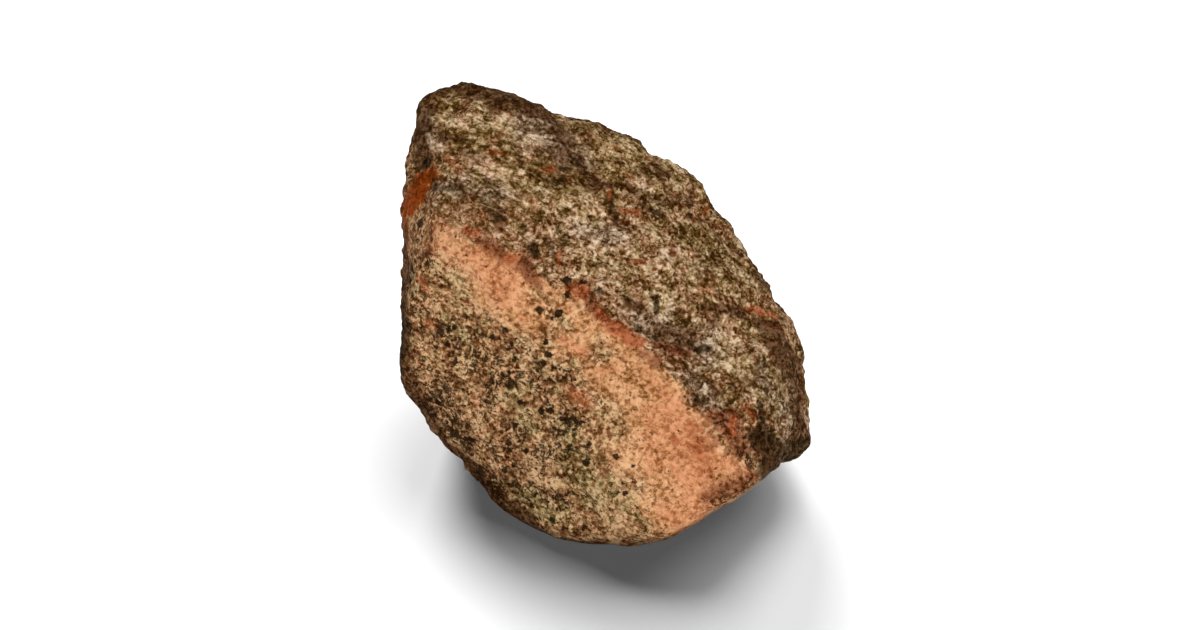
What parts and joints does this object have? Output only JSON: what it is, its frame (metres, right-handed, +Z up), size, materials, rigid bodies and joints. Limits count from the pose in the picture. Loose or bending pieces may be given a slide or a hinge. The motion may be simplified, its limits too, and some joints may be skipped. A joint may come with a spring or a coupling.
{
  "type": "meteorite",
  "caption": "Rough stony meteorite, wedge-shaped, with a smooth broken face, a coarse outer crust, a long ridge between them and a worn flat base.",
  "frame": {"origin": "on the floor, under the middle of the stone's box", "axes": "+Z up from the worn base, -Y towards the front, where the broken face and the crust lean back, +X to the right as seen from the front"},
  "size_m": [0.1019, 0.0971, 0.0799],
  "materials": {
    "stone": "matte"
  },
  "bodies": {
    "root": {"meteorite": "stone"}
  },
  "joints": []
}
